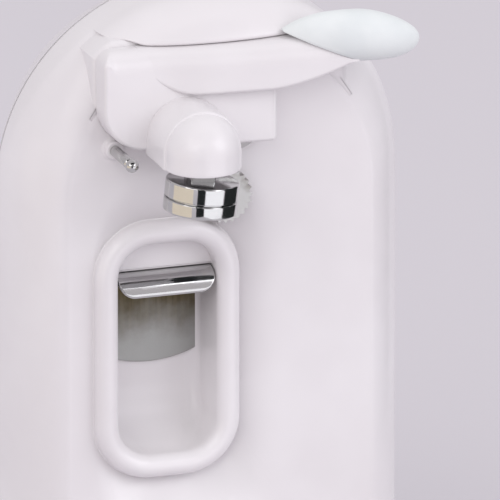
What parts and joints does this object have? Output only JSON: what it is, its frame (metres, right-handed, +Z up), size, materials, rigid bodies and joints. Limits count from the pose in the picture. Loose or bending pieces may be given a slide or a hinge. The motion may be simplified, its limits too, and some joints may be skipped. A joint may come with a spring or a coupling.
{
  "type": "electric can opener",
  "caption": "Upright electric can opener with a press-down lever, hanging lid magnet, cutter and drive wheel, and a recessed bottle opener in its front.",
  "frame": {"origin": "on the surface the feet rest on, at the middle of the overall box", "axes": "+Z up; -Y towards the user, out of the front face; +X to the user's right, where the lever's grip is"},
  "size_m": [0.132, 0.1138, 0.228],
  "materials": {
    "white_plastic": "satin, warm white",
    "soft_grip": "soft matt, pale mint",
    "foot_rubber": "matt",
    "grey_plastic": "matt",
    "red_plastic": "gloss",
    "nylon": "natural nylon",
    "frosted_steel": "bead-blasted",
    "steel": "bright",
    "chrome": "polished",
    "bronze": "sintered bronze",
    "lamination": "laminated steel",
    "copper_wire": "enamelled copper"
  },
  "bodies": {
    "root": {"front_housing": "white_plastic", "rear_cover": "white_plastic", "feet": "foot_rubber", "cord_inlet_bushing": "grey_plastic", "recess_cup": "white_plastic", "opener_plate": "frosted_steel", "opener_lip": "chrome", "opener_rivets": "frosted_steel", "pivot_bushing": "bronze", "return_spring": "steel", "drive_bushings": "bronze", "cluster_pin": "steel", "gear_plate": "steel", "gear_plate_screws": "steel", "motor_posts": "steel", "motor_screws": "steel", "stator": "lamination", "coil_bobbin": "nylon", "motor_coil": "copper_wire", "motor_brackets": "steel", "motor_bearings": "bronze", "switch_body": "grey_plastic", "can_guide_pin": "chrome", "housing_screws": "steel"},
    "lever": {"lever_body": "white_plastic", "lever_grip": "soft_grip", "pivot_shaft": "steel", "pivot_clip": "steel", "switch_finger": "nylon", "magnet_pod": "white_plastic", "magnet_pin": "steel", "cutter_axle": "steel"},
    "magnet": {"magnet_keeper": "chrome", "magnet_disc": "chrome"},
    "cutter": {"cutter_wheel": "steel"},
    "drive": {"drive_wheel": "steel", "drive_shaft": "steel", "drive_gear": "nylon"},
    "cluster": {"cluster_gear": "nylon"},
    "rotor": {"rotor_core": "lamination", "rotor_shaft": "steel", "motor_pinion": "bronze", "motor_fan": "grey_plastic"},
    "plunger": {"switch_plunger": "red_plastic"}
  },
  "joints": [
    {"name": "lever_press", "type": "hinge", "parent": "root", "child": "lever", "pos_m": [-0.029, -0.0177, 0.1966], "axis": [0, 1, 0], "range_deg": [0, 14], "stiffness_Nm_per_rad": 0.15, "springref_deg": -22.92},
    {"name": "magnet_tilt", "type": "hinge", "parent": "lever", "child": "magnet", "pos_m": [-0.015, -0.0447, 0.188], "axis": [0, 1, 0], "range_deg": [-22, 2]},
    {"name": "cutter_spin", "type": "hinge", "parent": "lever", "child": "cutter", "pos_m": [0.003, -0.0241, 0.1878], "axis": [0, 1, 0], "continuous": true},
    {"name": "rotor_spin", "type": "hinge", "parent": "root", "child": "rotor", "pos_m": [0, 0.0343, 0.105], "axis": [0, 1, 0], "continuous": true},
    {"name": "cluster_spin", "type": "hinge", "parent": "root", "child": "cluster", "pos_m": [0, 0.0183, 0.132], "axis": [0, 1, 0], "continuous": true},
    {"name": "drive_spin", "type": "hinge", "parent": "root", "child": "drive", "pos_m": [0, -0.0177, 0.1635], "axis": [0, 1, 0], "continuous": true},
    {"name": "switch_travel", "type": "slide", "parent": "root", "child": "plunger", "axis": [0, 0, -1], "range_m": [0, 0.0036]}
  ],
  "couplings": [
    {"joint": "cluster_spin", "follows": "rotor_spin", "ratio": -0.28571},
    {"joint": "drive_spin", "follows": "rotor_spin", "ratio": 0.089286},
    {"joint": "switch_travel", "follows": "lever_press", "m_per_rad": 0.01473}
  ]
}
